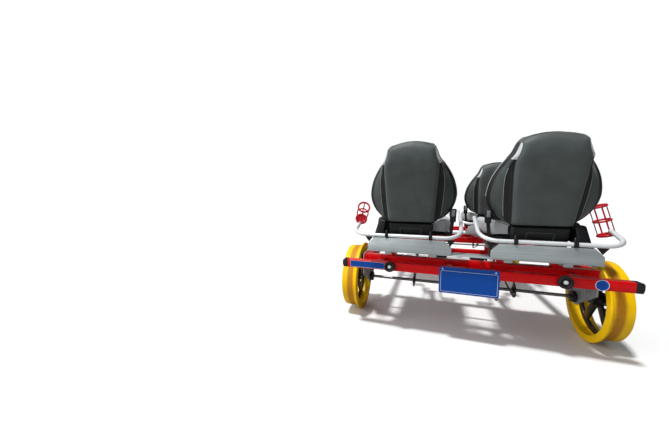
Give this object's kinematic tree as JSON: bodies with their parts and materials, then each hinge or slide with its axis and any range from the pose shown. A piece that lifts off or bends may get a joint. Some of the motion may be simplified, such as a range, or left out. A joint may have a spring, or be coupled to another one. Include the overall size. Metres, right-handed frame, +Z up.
{
  "type": "four-seat pedal rail bike",
  "caption": "Open pedal rail bike with a square-tube frame on two rail axles, reclined bucket seats in two rows, cranks, chains and grab rails.",
  "frame": {"origin": "centre of the box at the bottom of the wheel flanges", "axes": "+X right, +Y ahead along the track, +Z up"},
  "size_m": [1.58, 2.737, 1.1623],
  "materials": {
    "frame_red": "gloss red paint",
    "wheel_yellow": "yellow tread, worn brown where it runs",
    "wheel_black": "black paint",
    "black_rubber": "satin",
    "black_plastic": "satin",
    "bright_steel": "bright",
    "zinc": "dull zinc",
    "aluminium": "brushed",
    "seat_dark": "dark grey vinyl",
    "seat_shell": "dark grey moulding",
    "cage_red": "red",
    "sign_blue": "gloss blue, blank",
    "chain_steel": "oiled"
  },
  "bodies": {
    "root": {"side_rails": "frame_red", "end_beams": "frame_red", "cross_beams": "frame_red", "bumpers": "frame_red", "bumper_stubs": "frame_red", "bumper_caps": "black_rubber", "buffers": "black_rubber", "bearing_plates": "zinc", "bearings": "black_plastic", "calliper": "black_plastic", "calliper_bracket": "frame_red", "seat_shelves": "aluminium", "seat_runners": "aluminium", "seat_risers": "frame_red", "seat_slides": "zinc", "rear_grab_rails": "bright_steel", "front_grab_rails": "bright_steel", "back_plates": "aluminium", "rail_clamps": "black_plastic", "rail_gussets": "black_plastic", "back_shells": "seat_shell", "back_cushions": "seat_dark", "back_hinges": "black_plastic", "seat_cushions": "seat_dark", "back_bases": "black_plastic", "seat_braces": "black_plastic", "seat_pans": "black_plastic", "crank_booms": "frame_red", "chains": "chain_steel", "bottle_cages": "cage_red", "sign": "sign_blue", "side_strip": "sign_blue", "number_disc": "sign_blue", "tow_tabs": "frame_red"},
    "rear_axle": {"rear_wheel_rims": "wheel_yellow", "rear_wheel_centres": "wheel_black", "rear_shaft": "bright_steel", "rear_sprockets": "chain_steel", "brake_disc": "bright_steel"},
    "front_axle": {"front_wheel_rims": "wheel_yellow", "front_wheel_centres": "wheel_black", "front_shaft": "bright_steel", "front_sprockets": "chain_steel"},
    "rear_left_crank": {"rear_left_crank": "black_plastic"},
    "rear_left_pedal_left": {"rear_left_pedal_left": "black_plastic"},
    "rear_left_pedal_right": {"rear_left_pedal_right": "black_plastic"},
    "rear_right_crank": {"rear_right_crank": "black_plastic"},
    "rear_right_pedal_left": {"rear_right_pedal_left": "black_plastic"},
    "rear_right_pedal_right": {"rear_right_pedal_right": "black_plastic"},
    "front_left_crank": {"front_left_crank": "black_plastic"},
    "front_left_pedal_left": {"front_left_pedal_left": "black_plastic"},
    "front_left_pedal_right": {"front_left_pedal_right": "black_plastic"},
    "front_right_crank": {"front_right_crank": "black_plastic"},
    "front_right_pedal_left": {"front_right_pedal_left": "black_plastic"},
    "front_right_pedal_right": {"front_right_pedal_right": "black_plastic"}
  },
  "joints": [
    {"name": "rear_axle_spin", "type": "hinge", "parent": "root", "child": "rear_axle", "pos_m": [0, -0.89352, 0.254], "axis": [1, 0, 0], "continuous": true},
    {"name": "front_axle_spin", "type": "hinge", "parent": "root", "child": "front_axle", "pos_m": [0, 0.98648, 0.254], "axis": [1, 0, 0], "continuous": true},
    {"name": "rear_left_crank_spin", "type": "hinge", "parent": "root", "child": "rear_left_crank", "pos_m": [-0.2675, -0.43952, 0.39], "axis": [1, 0, 0], "continuous": true},
    {"name": "rear_left_pedal_left_spin", "type": "hinge", "parent": "rear_left_crank", "child": "rear_left_pedal_left", "pos_m": [-0.4055, -0.27452, 0.39], "axis": [1, 0, 0], "continuous": true},
    {"name": "rear_left_pedal_right_spin", "type": "hinge", "parent": "rear_left_crank", "child": "rear_left_pedal_right", "pos_m": [-0.1295, -0.60452, 0.39], "axis": [1, 0, 0], "continuous": true},
    {"name": "rear_right_crank_spin", "type": "hinge", "parent": "root", "child": "rear_right_crank", "pos_m": [0.2675, -0.43952, 0.39], "axis": [1, 0, 0], "continuous": true},
    {"name": "rear_right_pedal_left_spin", "type": "hinge", "parent": "rear_right_crank", "child": "rear_right_pedal_left", "pos_m": [0.1295, -0.60452, 0.39], "axis": [1, 0, 0], "continuous": true},
    {"name": "rear_right_pedal_right_spin", "type": "hinge", "parent": "rear_right_crank", "child": "rear_right_pedal_right", "pos_m": [0.4055, -0.27452, 0.39], "axis": [1, 0, 0], "continuous": true},
    {"name": "front_left_crank_spin", "type": "hinge", "parent": "root", "child": "front_left_crank", "pos_m": [-0.2675, 0.66048, 0.39], "axis": [1, 0, 0], "continuous": true},
    {"name": "front_left_pedal_left_spin", "type": "hinge", "parent": "front_left_crank", "child": "front_left_pedal_left", "pos_m": [-0.4055, 0.82548, 0.39], "axis": [1, 0, 0], "continuous": true},
    {"name": "front_left_pedal_right_spin", "type": "hinge", "parent": "front_left_crank", "child": "front_left_pedal_right", "pos_m": [-0.1295, 0.49548, 0.39], "axis": [1, 0, 0], "continuous": true},
    {"name": "front_right_crank_spin", "type": "hinge", "parent": "root", "child": "front_right_crank", "pos_m": [0.2675, 0.66048, 0.39], "axis": [1, 0, 0], "continuous": true},
    {"name": "front_right_pedal_left_spin", "type": "hinge", "parent": "front_right_crank", "child": "front_right_pedal_left", "pos_m": [0.1295, 0.49548, 0.39], "axis": [1, 0, 0], "continuous": true},
    {"name": "front_right_pedal_right_spin", "type": "hinge", "parent": "front_right_crank", "child": "front_right_pedal_right", "pos_m": [0.4055, 0.82548, 0.39], "axis": [1, 0, 0], "continuous": true}
  ]
}
